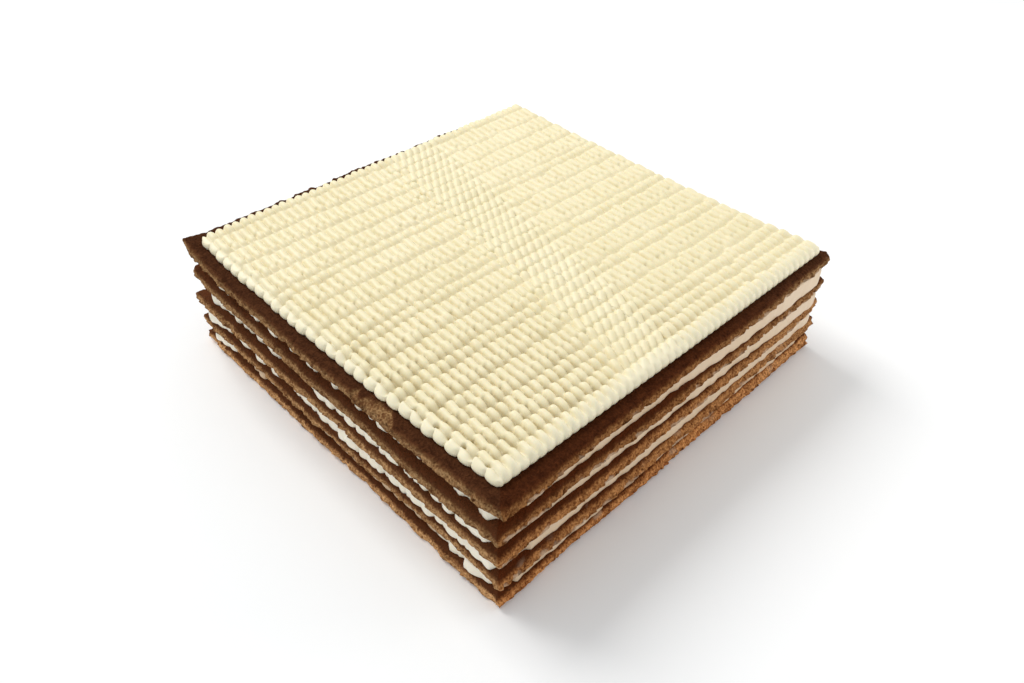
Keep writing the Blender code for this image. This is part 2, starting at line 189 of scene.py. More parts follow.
# Stretches of the front where a layer swells towards the edge, in millimetres: from, to, and how far
# back it stays all along or at its two ends
FRONT_SWELLS = (
    ((-98, -75, -0.8, 2.2), (-64, -59, 1.6), (-58.5, -53.5, 1), (75.5, 81.5, 1.3),
     (85, 97.5, -0.9, 1.4)),
    ((-100, -79, -1, 3), (-74.5, -66, 1.8), (-58, -52, 1.4), (-45.5, -39, 1.7), (-28, -22.5, 2),
     (-21.5, -9.5, 1.7), (-8.5, 8, 1.2), (9, 21.5, 0.1, 0.4), (22.5, 36.5, 0.6), (38, 50.5, 1),
     (51.5, 66, 0.6), (66.5, 71.5, 1.4), (72, 84, 0.8), (84.5, 98.5, 0.6, 0.4)),
    ((-100, -79, 1.2, 3.4), (-77.5, -73.5, 2.4), (-70.5, -62.5, 2.8), (-57.8, -51.8, 2.6),
     (-48.5, -38.5, 2.4), (-15, -9.5, 2.6), (-8.5, 6, 1.6), (6.5, 12, 2.1), (13, 20.5, 1.4),
     (21.5, 35, 1.3), (36.5, 48, 1.2), (51.5, 56, 1.2), (57, 64.5, 1.2), (66, 72.5, 1.1), (73, 79, 0.7),
     (80.5, 96, 0.5)),
    ((-87.5, -75.5, 2), (-55.7, -48.7, 2), (-43.5, -41.2, 2.9), (-40.5, -33.5, 1.7), (-24, -19, 2.3),
     (-11.5, -4.5, 2.4), (6, 9.5, 2.4), (21, 25.2, 2.8), (29.5, 32.7, 3), (35, 41.2, 2.4),
     (44, 49, 3.1), (58, 60.5, 3.4), (78.5, 83.2, 2.8), (86, 88, 3.4), (91.8, 97.5, 2.1, 2)),
)
# Stretches of the right side, where most layers run nearly to the corners
SIDE_SWELLS = (
    ((-94, -46, 0, -0.2), (-32, 94, 0.6, 0.9)),
    ((-86, 98, 0.6, -0.6),),
    ((-97, 1.2, 2.4, 0.6), (-1.2, 97, 0.6, -0.9)),
    ((-88.5, 1.2, 2.2), (-1.2, 36.2, 2.2, -0.3), (33.8, 96.5, -0.3, -0.9)),
)
SWELL_EASE = 0.0022
# A layer's section: shares of its height, hidden insets, and where its outline fades out
LAYER_SHARES = (0.02, 0.08, 0.16, 0.27, 0.4, 0.54, 0.68, 0.81, 0.92, 0.98)
LAYER_INSETS = (0.0012, 0.003, 0.008, 0.02)
LAYER_FADE = 0.015
LAYER_OVERLAP = 0.0003
CORNER_REACH = 0.006
# Lobes of a layer: their sway, sizes and roundness, the plain sides' value, and how flat their tops are
LOBE_SWAY = 0.1
LOBE_SIZES = (0.7, 1.15)
LOBE_ROUNDNESS = 0.75
PLAIN_SIDE = 0.6
LOBE_FLATTENING = 0.45
# Slow swells, tiny bumps and the ragged foot of a layer
SLOW_NOISE = (0.011, 51)
TINY_NOISE = (0.0026, 61)
FOOT_NOISE = (0.004, 81)
SLOW_HEIGHT = 0.00022
TINY_HEIGHT = 0.0001
FOOT_HEIGHT = 0.0004
# How strongly the cream is tinted brown: painted shade along the right side, crumb stain in the lowest gap at
# the front and on the right
RIGHT_PAINTED_SHADE = 0.78
RIGHT_PAINTED_SHADE_LOSS = 0.04
FRONT_STAIN = 0.9
FRONT_STAIN_RISE = (-0.078, 0.008)
FRONT_STAIN_FALL = (0.07, 0.006)
LOW_RIGHT_STAIN = 0.65
LOW_RIGHT_RISE = (-0.048, 0.01)

# Cream top: lanes of one or two lobes along X, strokes in rows along Y
LANES = (1, 2, 2, 2, 2, 1, 2, 2, 2, 1, 2, 2, 1, 2, 2, 1, 1, 1, 1)
# The first rows at the front corner, where the lanes on the last six lobes change from row to row
CORNER_LOBES = 6
CORNER_LANES = ((2, 2, 2), (2, 2, 2), (2, 1, 2, 1), (2, 2, 2), (1, 2, 2, 1),
                (2, 1, 1, 1, 1), (2, 1, 1, 1, 1), (2, 2, 1, 1), (2, 2, 1, 1))
ROWS = 48
TOP_LEFT = -0.093
TOP_RIGHT_FRONT = 0.0931
TOP_RIGHT_BACK = 0.0958
TOP_FRONT = -0.0964
TOP_FRONT_BOW = 0.0014
TOP_BACK = (0.0972, 0.0955, 0.095, 0.0942, 0.0942, 0.0958)
# The first row is shorter, narrower and lower than the others, as the lanes' front ends are thin
FIRST_ROW_CUT = 0.0027
FIRST_ROW_WIDTH = 0.7
FIRST_ROW_DROP = 0.0008
FAR_ROW_DROP = 0.0006
# How far the lanes sway from straight lines, and how fast along the rows and across the lobes
LANE_SWAY = 0.0006
SWAY_ALONG = 7.0
SWAY_ACROSS = 0.9
# One stroke: its crest falls from the head to the tail, which ends under the next lane's heads
HEAD_HEIGHT = 0.0054
CREST_FALL = 0.0004
TAIL_DROP = 0.0018
TAIL_LENGTH = 0.004
STROKE_RISE = 0.0027
STROKE_WIDTH = 0.00192
HEAD_START = 0.0012
TAIL_REACH = 0.0006
NECK = 0.0014
NECK_SPREAD = 0.0012
STROKE_TURN = math.radians(-5)
STROKE_WIDENING = 0.00018
NEAR_NECK = -0.0003
TAIL_SPREAD = 0.001
SECOND_LOBE_DROP = 0.00035
BAND_TAIL_LOSS = 0.7
# How much single strokes differ at random
STROKE_JITTER = {"neck": 0.0001, "start": 0.0004, "end": 0.00035, "height": 0.00013, "width": 0.00004,
                 "y": 0.0001, "turn": 0.035, "rise": 0.00008}
# How far the lobes of single strokes come apart, and that share near the front corner
APART_SIZES = (0.3, 1.0)
NEAR_APART = 0.35
# Where the tails lie across a lane, as shares of its width
TAIL_RISE = (0.55, 0.25)
TAIL_FALL = (1.02, 0.06)
# A height below the piping, for places that no stroke covers
NO_STROKE = -1.0
# The cream between the strokes: low near the front corner, higher away from it, highest by the tails
FILL_HEIGHT = 0.0018
FAR_FILL = 0.0014
TAIL_FILL = 0.0004
RIGHT_FILL = 0.0014
BAND_FILL = 0.0013
HOLE_DEPTH = 0.004
LANE_START_HOLE = 0.8
HOLE_WIDTH = 0.00105
HOLE_ROWS = ((1, 1.0), (2, 0.75), (3, 0.5))
HOLE_SIZES = (0.55, 1.1)
HOLE_SWAY = 0.1
# How softly strokes run into each other, near the front corner and how much more away from it
BLEND = 0.00018
FAR_BLEND = 0.0004
# The rim: its wall and brow, the last lobes or rows by it, and how far lobes and row ends swell out
RIM_LOBES = 1.3
RIM_NARROWING = 1.4
FRONT_LOBE_SIZES = (0.0012, 0.0019)
LEFT_ROW_SIZES = (0.0014, 0.0022)
RIGHT_ROW_SIZE = 0.0005
WALL_SHARES = (0.12, 0.28, 0.45, 0.62, 0.78, 0.9, 1.0)
WALL_SWELL = 0.0004
WALL_TUCK = 0.0003
WALL_SINK = 0.0001
OUTER_REACH = 0.088
WALL_HEIGHT = 0.0026
BROW_RADIUS = 0.0019
FRONT_BROW_RADIUS = 0.0012
# The diagonal band of slanted beads
BAND_SLOPE = -0.187
BAND_MIDDLE = 0.004
BAND_HALF_WIDTH = 0.013
BAND_TURN = math.radians(-36)
BEAD_HALF_SEGMENT = 0.002
BEAD_WIDTH = 0.002
BEADS_AHEAD = 0.014
# Painted shade darkens the grooves from this far below the crests, and fully at the second depth
GROOVE_START = 0.0006
GROOVE_FULL = 0.0024
BEAD_GROOVE_LOSS = 0.5
FAR_GROOVE_LOSS = 0.6
# How much painted shade darkens the valleys between the lanes, and how that fades towards the back
VALLEY_SHADE = 0.35
BACK_SHADE_LOSS = 0.8
BACK_SHADE_RISE = (-0.03, 0.06)
# Cuts that each lobe and each row is made of, and the rows of the two halves of the top
LOBE_CUTS = (0.0, 0.05, 0.1, 0.17, 0.26, 0.36, 0.48, 0.6, 0.72, 0.83, 0.92)
ROW_CUTS = (0.0, 0.09, 0.2, 0.34, 0.5, 0.66, 0.8, 0.91)
TOP_PARTS = ((0, 24), (24, 48))

# Light and shaded cream, the darker tint of the painted shade in the top's grooves and of crumb stain and
# painted shade in the layers, and paler cream along the front and right rim of the top
FILLING_TONES = ((0.96, 0.89, 0.74, 1), (0.93, 0.85, 0.68, 1), (0.68, 0.47, 0.28, 1))
TOPPING_TONES = ((0.92, 0.82, 0.55, 1), (0.9, 0.8, 0.52, 1), (0.62, 0.525, 0.315, 1))
FILLING_ROUGHNESS = 0.4
TOPPING_ROUGHNESS = 0.45
RIM_COLOUR = (0.925, 0.84, 0.6, 1)
# Other colours, and the sponge's fine pattern in features to the metre
SMEAR_COLOUR = (0.66, 0.47, 0.32, 1)
FLOOR_TONES = ((0.97, 0.97, 0.97, 1), (0.98, 0.98, 0.98, 1))
GRAIN_SCALE = 1150.0
CLOUD_SCALE = 330.0
PORE_SCALE = 560.0
SPONGE_LEVELS = (0.36, 0.64)

# Lights: direction, distance, size, power and colour
KEY_LIGHT = ((-0.85, -0.1, 1.0), 2.5, 1.25, 36.6, (1.0, 0.995, 0.975))
RIGHT_BACK_LIGHT = ((0.42, 0.5, 0.16), 0.67, 0.3, 0.8, (1.0, 0.93, 0.84))

# Camera, as the photograph was taken
EYE = (0.2182, -0.2131, 0.2635)
VIEW_AZIMUTH = math.radians(45.22)
VIEW_PITCH = math.radians(40.84)
VIEW_ROLL = math.radians(0.68)
LENS = 29.64
SENSOR = 36.0

ALONG = np.array(((1, 0), (0, 1), (-1, 0), (0, -1)), float)
OUTWARD = np.array(((0, -1), (1, 0), (0, 1), (-1, 0)), float)


def sheet_floor(sheet):
    """Height of the underside of a sheet, counted from 0 at the bottom."""
    return sum(SHEET_THICKNESS[:sheet]) + sum(CREAM_HEIGHT[:sheet])


def sheet_top(sheet):
    """Height of the upper face of a sheet."""
    return sheet_floor(sheet) + SHEET_THICKNESS[sheet]


def ease(share):
    """Eases shares from 0 to 1, flat outside."""
    share = np.clip(share, 0.0, 1.0)
    return share * share * (3 - 2 * share)


def rising(value, start, length):
    """Eases from 0 at the start to 1 after a length."""
    return ease((value - start) / length)


def falling(value, end, length):
    """Eases from 1 a length before the end to 0 at the end."""
    return ease((end - value) / length)


def eased_between(places, values, spot):
    """Metres between given places, eased from one to the next, from a table of millimetres."""
    places = np.array(places)
    values = np.array(values) / 1000
    index = np.clip(np.searchsorted(places, spot, side="right") - 1, 0, len(places) - 2)
    share = ease((spot - places[index]) / (places[index + 1] - places[index]))
    return values[index] + (values[index + 1] - values[index]) * share


def at_station(values, place):
    """Metres at places round the square, eased between the stations, from a table of millimetres."""
    return eased_between(STATIONS + (4.0,), tuple(values) + (values[0],), np.mod(place, 4.0))


def edge_wave(sheet, place):
    """Slow waves of a sheet's cut edge in plan, its own for each sheet."""
    draw = random.Random(EDGE_SEED + sheet)
    wave = np.zeros_like(place)
    for turns in EDGE_TURNS:
        wave += np.sin(place / 4 * 2 * math.pi * turns + draw.uniform(0, 2 * math.pi))
    return EDGE_WAVE * wave / 2


def lattice(ix, iy, iz, seed):
    """A fixed random number from 0 to 1 for every corner of a grid of cells, mixed by large odd numbers."""
    mixed = ix * 73856093 ^ iy * 19349663 ^ iz * 83492791 ^ seed * 40503
    mixed = (mixed ^ (mixed >> 13)) & 0xFFFFFFFF
    mixed = (mixed * 1274126177) & 0xFFFFFFFF
    mixed = mixed ^ (mixed >> 16)
    return (mixed & 0xFFFFF) / 0xFFFFF


def noise(points, cell, seed):
    """Smooth noise from -1 to 1 at points, with features about one cell across."""
    scaled = points / cell
    base = np.floor(scaled).astype(np.int64)
    share = ease(scaled - base)
    total = np.zeros(len(points))
    for corner in range(8):
        step = np.array((corner & 1, corner >> 1 & 1, corner >> 2 & 1))
        weight = np.prod(np.where(step, share, 1 - share), axis=1)
        cells = base + step
        total += weight * lattice(cells[:, 0], cells[:, 1], cells[:, 2], seed)
    return total * 2 - 1


def layered_noise(points, kind, number=0, octaves=2):
    """Noise of a kind with finer noise on it, each octave half as large and half as strong."""
    cell, seed = kind
    total = np.zeros(len(points))
    for octave in range(octaves):
        total += noise(points, cell / 2 ** octave, seed + number + octave) / 2 ** octave
    return total


def pits(points, cell, seed):
    """Round pits at random spots: 0 outside them and up to 1 at a pit's middle."""
    scaled = points / cell
    base = np.floor(scaled).astype(np.int64)
    nearest = np.full(len(points), 9.0)
    for corner in range(27):
        step = np.array((corner % 3 - 1, corner // 3 % 3 - 1, corner // 9 - 1))
        cells = base + step
        size = lattice(cells[:, 0], cells[:, 1], cells[:, 2], seed + 9)
        gap = np.zeros(len(points))
        for axis in range(3):
            spot = lattice(cells[:, 0], cells[:, 1], cells[:, 2], seed + axis)
            gap += (scaled[:, axis] - cells[:, axis] - spot) ** 2
        nearest = np.minimum(nearest, np.sqrt(gap) / np.maximum(size - PITLESS, 0.01))
    return np.clip(1 - nearest / PIT_SPREAD, 0, 1)


def side_and_spot(place):
    """For places round the square their side, 0 to 3, and how far along it from its middle they are."""
    place = np.mod(place, 4.0)
    side = np.floor(place).astype(int) % 4
    return side, ((place - side) * 2 - 1) * HALF


def edge_outset(sheet, side, spot, upper):
    """How far a sheet's upper or lower cut edge stands outside the nominal square."""
    front = FRONT_UPPER[sheet] if upper else FRONT_LOWER[sheet]
    right = RIGHT_UPPER[sheet] if upper else RIGHT_LOWER[sheet]
    outset = np.zeros(len(spot))
    for number, values in enumerate((front, right, BACK_EDGE, LEFT_EDGE[sheet])):
        here = side == number
        outset[here] = eased_between(EDGE_PLACES[number], values, spot[here])
    return outset + edge_wave(sheet, side + (spot / HALF + 1) / 2)


def with_neighbours(place, outset):
    """Outsets at places, and those of the next and the last side where they meet this one."""
    side, spot = side_and_spot(place)
    ends = np.full(len(place), HALF)
    return outset(side, spot), outset((side + 1) % 4, -ends), outset((side + 3) % 4, ends)


def ring_points(place, inset, outsets, radius):
    """Points of a square with rounded corners whose sides stand out as told, and their outward directions."""
    side, spot = side_and_spot(place)
    here, ahead, behind = (HALF - inset + outset for outset in outsets)
    along = spot / HALF * np.where(spot > 0, ahead, behind)
    core = np.clip(along, radius - behind, ahead - radius)
    slide = along - core
    length = np.hypot(slide, radius)
    direction = (OUTWARD[side] * radius + ALONG[side] * slide[:, None]) / length[:, None]
    middle = OUTWARD[side] * (here - radius)[:, None] + ALONG[side] * core[:, None]
    return middle + direction * radius, direction


def lifted(xy, height, lift):
    """Points in space: the height bends by the lift from the flat middle out to the rim."""
    reach = np.abs(xy).max(axis=1)
    share = np.clip((reach - FLAT_HALF) / (HALF - FLAT_HALF), 0.0, 1.05)
    return np.column_stack((xy + CENTRE_SHIFT, height + lift * share))


def new_object(name, vertices, faces, material):
    """A smooth-shaded mesh object with one material."""
    mesh = bpy.data.meshes.new(name)
    mesh.from_pydata(vertices.tolist(), [], faces)
    mesh.validate()
    mesh.shade_smooth()
    mesh.materials.append(material)
    thing = bpy.data.objects.new(name, mesh)
    bpy.context.scene.collection.objects.link(thing)
    return thing


def paint(thing, name, values):
    """Stores one number for each vertex, for the material to read."""
    layer = thing.data.attributes.new(name, "FLOAT", "POINT")
    layer.data.foreach_set("value", np.asarray(values, np.float32))


def loft_faces(rings, count):
    """Quads between rings that run from the underside round the edge to the top, and two caps."""
    faces = [tuple(range(count - 1, -1, -1))]
    for ring in range(rings - 1):
        low = ring * count
        high = low + count
        for i in range(count):
            after = (i + 1) % count
            faces.append((low + i, low + after, high + after, high + i))
    faces.append(tuple(range((rings - 1) * count, rings * count)))
    return faces


def sheet_section(thickness):
    """The edge of a sheet from the flat middle's underside to its top: inset and height."""
    cut = thickness - CUT_END - CUT_START
    section = [(inset, 0.0) for inset in UNDERSIDE_INSETS]
    section += UNDERSIDE_ROUND
    section += [(0.0, CUT_START + cut * i / CUT_STEPS) for i in range(CUT_STEPS + 1)]
    section += [(inset, thickness - drop) for inset, drop in TOP_ROUND]
    section += [(inset, thickness) for inset in TOP_INSETS]
    return section


def crust_loss(sheet, place):
    """How much thinner the dark crust is along the back of the right cut edge."""
    side, spot = side_and_spot(place)
    return CRUST_LOSS[sheet] * rising(spot, *CRUST_LOSS_RISE) * (side == 1)


def torn_patch(xy, inset):
    """Where the top sheet's crust is torn off at the front: 1 in the patch, 0 outside."""
    x = xy[:, 0] + TORN_SLANT * inset
    along = rising(x, *TORN_RISE) * falling(x, *TORN_FALL)
    spots = np.column_stack((xy, np.zeros(len(xy))))
    reach = TORN_REACH * rising(x, *TORN_GROWTH) + layered_noise(spots, TORN_NOISE, octaves=3) * TORN_WOBBLE
    return along * falling(inset, reach, TORN_EDGE) * (xy[:, 1] < -HALF + TORN_LIMIT)


def tip_curl(sheet, xy):
    """Extra lift of a sheet's tips at the left front and the right back corner."""
    left, right = TIP_CURL[sheet]
    to_left = np.hypot(xy[:, 0] + HALF, xy[:, 1] + HALF)
    to_right = np.hypot(xy[:, 0] - HALF, xy[:, 1] - HALF)
    return left * ease(1 - to_left / TIP_REACH[0]) + right * ease(1 - to_right / TIP_REACH[1])


def smears(sheet, place, share):
    """Thin cream dragged over the cut right and left faces: 1 on a smear, 0 off it."""
    side = np.floor(np.mod(place, 4.0)).astype(int) % 2 == 1
    along = place * SIDE
    line = np.column_stack((along, np.full(len(along), share * SMEAR_SQUASH), np.zeros(len(along))))
    tips = layered_noise(line * (1, 0, 0), TIP_NOISE, sheet)
    low = rising(tips, *TIP_RISE) * falling(share, *TIP_FALL) * (sheet > 0)
    drags = layered_noise(line, DRAG_NOISE, sheet, octaves=3)
    high = rising(drags, *DRAG_RISE) * rising(share, *HIGH_RISE) * falling(share, *HIGH_FALL) * (sheet < 2)
    return np.where(side, np.maximum(low, high * DRAG_STRENGTH), 0.0)


def make_sheet(sheet, material):
    """One sponge sheet: a baked top, a crumbly cut edge and a flat hidden middle."""
    place = np.arange(4 * SHEET_STEPS) / SHEET_STEPS
    count = len(place)
    thickness = SHEET_THICKNESS[sheet]
    lower = with_neighbours(place, lambda side, spot: edge_outset(sheet, side, spot, False))
    upper = with_neighbours(place, lambda side, spot: edge_outset(sheet, side, spot, True))
    lift_top = at_station(RIM_LIFT[sheet], place)
    lift_low = lift_top if sheet else lift_top * 0
    thin = crust_loss(sheet, place)
    on_right = np.floor(place).astype(int) == 1
    foot_lift = np.where(on_right, FOOT_LIFT[1], FOOT_LIFT[0])
    rings = []
    crumbs = []
    smeared = []
    for inset, height in sheet_section(thickness):
        rim = max(0.0, 1 - inset / RIM_FADE)
        share = height / thickness
        outsets = [rim * (low + (high - low) * share) for low, high in zip(lower, upper)]
        xy, out = ring_points(place, inset, outsets, SHEET_CORNER)
        lift = lift_low * (1 - share) + lift_top * share
        flat = lifted(xy, sheet_floor(sheet) + height, lift)
        flat[:, 2] += tip_curl(sheet, xy) * (share if sheet == 0 else 1)
        if inset > MIDDLE_INSET:
            rings.append(flat)
            crumbs.append(np.zeros(count))
            smeared.append(np.zeros(count))
            continue
        coarse = layered_noise(flat, COARSE_NOISE, sheet)
        fine = layered_noise(flat, FINE_NOISE, sheet)
        hole = pits(flat, PIT_CELL, PIT_SEED + sheet)
        top_share = rising(inset, *TOP_FACE_RISE) * (share > 0.5)
        broken = COARSE_BREAK * coarse + FINE_BREAK * fine
        cut = ease((CRUST_END + thin - share) / CRUST_BLEND + broken) * (1 - top_share)
        torn = torn_patch(xy, inset) * (share > 0.6) if sheet == 4 else np.zeros(count)
        cut = np.maximum(cut, torn * TORN_CRUMB)
        near_edge = ease(1 - inset / RELIEF_INSET)
        push = near_edge * (COARSE_RELIEF * coarse + FINE_RELIEF * fine - PIT_DEPTH * hole * ease(cut * 2))
        grain = CRUST_RELIEF * layered_noise(flat, CRUST_NOISE, sheet)
        point = flat.copy()
        point[:, :2] += out * (push * (1 - TOP_CALM * top_share))[:, None]
        point[:, 2] += (share > 0.5) * (grain * ease(inset / 0.001) + push * TOP_RISE * ease(share * 4 - 3))
        point[:, 2] -= torn * (TORN_DEPTH + TORN_ROUGHNESS * fine)
        point[:, 2] += RAGGED_DROP * (share < RAGGED_SHARE) * near_edge * (0.6 * coarse + fine)
        if sheet == 0:
            foot = foot_lift * (1 + 0.4 * coarse) * ease(1 - inset / FOOT_REACH) * max(0.0, 1 - 2 * share)
            point[:, 2] = np.maximum(point[:, 2] + foot, 0.0)
        rings.append(point)
        crumbs.append(cut)
        smeared.append(smears(sheet, place, share) * (1 - top_share))
    name = "sheet_%d" % (sheet + 1)
    thing = new_object(name, np.concatenate(rings), loft_faces(len(rings), count), material)
    paint(thing, "crumb", np.concatenate(crumbs))
    paint(thing, "smear", np.concatenate(smeared))
    # Painted shade along the right side, fading towards the back corner
    _, spot = side_and_spot(place)
    paint(thing, "right", np.tile(on_right * (1 - RIGHT_SHADE_FADE[sheet] * ease(spot / HALF)), len(rings)))
    return thing


def layer_outset(layer, side, spot):
    """How far a cream layer reaches outside the nominal square, with its swells front and right."""
    recess = at_station(CREAM_RECESS[layer], side + (spot / HALF + 1) / 2)
    left_end = ease((spot - HALF) / LEFT_END_REACH + 1) * (side == 3)
    recess = recess + (LEFT_END_RECESS[layer] - recess) * left_end
    for number, swells in ((0, FRONT_SWELLS[layer]), (1, SIDE_SWELLS[layer])):
        for swell in swells:
            start, end, first, last = np.array((swell + swell[-1:])[:4]) / 1000
            inside = ease((spot - start) / SWELL_EASE + 0.5) * ease((end - spot) / SWELL_EASE + 0.5)
            share = np.clip((spot - start) / (end - start), 0, 1)
            recess = recess + (first + (last - first) * share - recess) * inside * (side == number)
    bow = np.where(side == 0, eased_between(EDGE_PLACES[0], FRONT_BOW, spot), 0.0)
    return bow - recess


def cream_stain_and_shade(layer, side, spot):
    """How far the cream is tinted brown: crumb stain, most in the lowest gap, and painted shade along the
    right side.
    """
    right = (RIGHT_PAINTED_SHADE - RIGHT_PAINTED_SHADE_LOSS * rising(spot, -HALF, SIDE)) * (side == 1)
    front = FRONT_STAIN * rising(spot, *FRONT_STAIN_RISE) * falling(spot, *FRONT_STAIN_FALL) * (side == 0)
    low_right = LOW_RIGHT_STAIN * rising(spot, *LOW_RIGHT_RISE) * (side == 1)
    return np.maximum(right, np.maximum(front, low_right) * (layer == 0))


def lobe_wave(place, draw):
    """Round lobes of the piping along the front and back, from notch 0 to crown 1."""
    side = np.floor(np.mod(place, 4.0)).astype(int)
    number = np.mod(place, 1.0) * LOBES
    sway = np.array([draw.uniform(-LOBE_SWAY, LOBE_SWAY) for _ in range(4 * LOBES + 1)])
    size = np.array([draw.uniform(*LOBE_SIZES) for _ in range(4 * LOBES + 1)])
    index = np.clip(side * LOBES + np.floor(number).astype(int), 0, 4 * LOBES)
    wave = np.abs(np.sin(math.pi * (number + sway[index] * np.sin(math.pi * number))))
    return np.where(side % 2 == 0, wave ** LOBE_ROUNDNESS * size[index], PLAIN_SIDE)


def layer_section():
    """A cream layer's edge from its hidden underside round to its hidden top: share and inset."""
    section = [(0.0, inset) for inset in reversed(LAYER_INSETS)]
    section += [(share, 0.0) for share in LAYER_SHARES]
    section += [(1.0, inset) for inset in LAYER_INSETS]
    return section


def make_layer(layer, material):
    """One cream layer, pressed between two sheets so that it bulges out in lobes."""
    draw = random.Random(LOBE_SEED + layer)
    place = np.arange(4 * LAYER_STEPS) / LAYER_STEPS
    count = len(place)
    floor = sheet_top(layer) - LAYER_OVERLAP
    top = sheet_floor(layer + 1) + LAYER_OVERLAP
    below = at_station(RIM_LIFT[layer], place)
    above = at_station(RIM_LIFT[layer + 1], place)
    lobes = lobe_wave(place, draw)
    base = with_neighbours(place, lambda side, spot: layer_outset(layer, side, spot))
    side, spot = side_and_spot(place)
    off_corner = falling(np.abs(spot), HALF, CORNER_REACH) * (side % 2)
    bulge = FRONT_BULGE + (SIDE_BULGE - FRONT_BULGE) * off_corner
    rings = []
    for share, inset in layer_section():
        rim = max(0.0, 1 - inset / LAYER_FADE)
        xy, out = ring_points(place, inset, [rim * outset for outset in base], LAYER_CORNER)
        height = floor + (top - floor) * share
        lift = below * (1 - share) + above * share
        flat = lifted(xy, height, lift)
        slow = layered_noise(flat, SLOW_NOISE, layer) * SLOW_HEIGHT
        tiny = layered_noise(flat, TINY_NOISE, layer) * TINY_HEIGHT
        torn = layered_noise(flat * (1, 1, 0.3), FOOT_NOISE, layer) * FOOT_HEIGHT * (1 - share)
        round_in = 1 - max(0.0, 1 - abs(2 * share ** 0.85 - 1) ** 2.4) ** 0.5
        push = LOBE_DEPTH * (lobes - PLAIN_SIDE) * (1 - LOBE_FLATTENING * share) + slow + tiny
        push = push + torn * off_corner - bulge * round_in
        rings.append(lifted(xy + out * (push * rim)[:, None], height, lift))
    name = "layer_%d" % (layer + 1)
    thing = new_object(name, np.concatenate(rings), loft_faces(len(rings), count), material)
    # Brown tint on the layer: crumb stain at the front of the lowest gap, painted shade along the right side
    paint(thing, "painted_shade_and_stain", np.tile(cream_stain_and_shade(layer, side, spot), len(rings)))
    return thing


def top_place(x, y):
    """Places round the square of points on the cream top."""
    place = np.where(-y >= np.abs(x), (x + HALF) / SIDE, 0.0)
    place = np.where((x >= np.abs(y)) & (x > -y), 1 + (y + HALF) / SIDE, place)
    place = np.where((y > np.abs(x)), 2 + (HALF - x) / SIDE, place)
    place = np.where((-x > np.abs(y)), 3 + (HALF - y) / SIDE, place)
    return np.mod(place, 4.0)


def top_sheet_lift(x, y):
    """How far the upper face of the top sheet is bent at points."""
    reach = np.maximum(np.abs(x), np.abs(y))
    share = np.clip((reach - FLAT_HALF) / (HALF - FLAT_HALF), 0.0, 1.0)
    return at_station(RIM_LIFT[-1], top_place(x, y)) * share


def back_line(x):
    """Y of the back end of the cream top, a slow wave through a few widths."""
    share = (x - TOP_LEFT) / (TOP_RIGHT_BACK - TOP_LEFT) * (len(TOP_BACK) - 1)
    share = np.clip(share, 0.0, len(TOP_BACK) - 1.001)
    index = np.floor(share).astype(int)
    widths = np.array(TOP_BACK)
    return widths[index] + (widths[index + 1] - widths[index]) * ease(share - index)


def front_line(x):
    """Y of the front end of the cream top, bowed forward a little in the middle."""
    return TOP_FRONT - TOP_FRONT_BOW * np.cos(math.pi * x / SIDE)


def top_point(lobe, row):
    """Plan position on the cream top, by lobes from the left and rows from the front."""
    share_y = row / ROWS
    right = TOP_RIGHT_FRONT + (TOP_RIGHT_BACK - TOP_RIGHT_FRONT) * share_y
    sway = LANE_SWAY * np.sin(share_y * SWAY_ALONG + lobe * SWAY_ACROSS) * np.sin(math.pi * lobe / LOBES)
    x = TOP_LEFT + (right - TOP_LEFT) * lobe / LOBES + sway
    y = front_line(x) + (back_line(x) - front_line(x)) * share_y
    return x, y + FIRST_ROW_CUT * np.clip(1 - row, 0, 1)


def band_share(x, y):
    """1 in the middle of the diagonal band of slanted beads and 0 outside it."""
    distance = np.abs(y - (BAND_MIDDLE + BAND_SLOPE * x))
    return ease((BAND_HALF_WIDTH * 1.45 - distance) / BAND_HALF_WIDTH)


def bead_share(x, y):
    """How far the lobes come apart as beads: in the band and for a while in front of it."""
    ahead = BAND_MIDDLE + BAND_SLOPE * x - y
    front = ease(1 - (ahead - BAND_HALF_WIDTH) / BEADS_AHEAD)
    back = ease(1 + (ahead + BAND_HALF_WIDTH * 0.6) / (BAND_HALF_WIDTH * 0.8))
    return np.where(ahead > 0, front, back)


def far_share(x, y):
    """0 near the front right corner of the cream top and 1 from its middle on."""
    return ease(1.25 * ((y - x) / SIDE + 1) - 0.25)


def tail_share(lobe):
    """1 by the tails, in the last third of each lane, and 0 elsewhere."""
    share = np.zeros(lobe.shape)
    start = 0
    for lobes in LANES:
        inside = (lobe - start) / lobes
        share = np.maximum(share, rising(inside, *TAIL_RISE) * falling(inside, *TAIL_FALL))
        start += lobes
    return share


def row_lanes(row):
    """The lanes that one row crosses, as numbers of lobes from left to right."""
    if row >= len(CORNER_LANES):
        return LANES
    kept = []
    while sum(kept) < LOBES - CORNER_LOBES:
        kept.append(LANES[len(kept)])
    return tuple(kept) + CORNER_LANES[row]


def lane_ends():
    """For each row and lobe whether it starts a lane and whether it ends one."""
    first = np.zeros((ROWS, LOBES), bool)
    last = np.zeros((ROWS, LOBES), bool)
    for row in range(ROWS):
        lobe = 0
        for lobes in row_lanes(row):
            first[row, lobe] = True
            last[row, lobe + lobes - 1] = True
            lobe += lobes
    return first, last


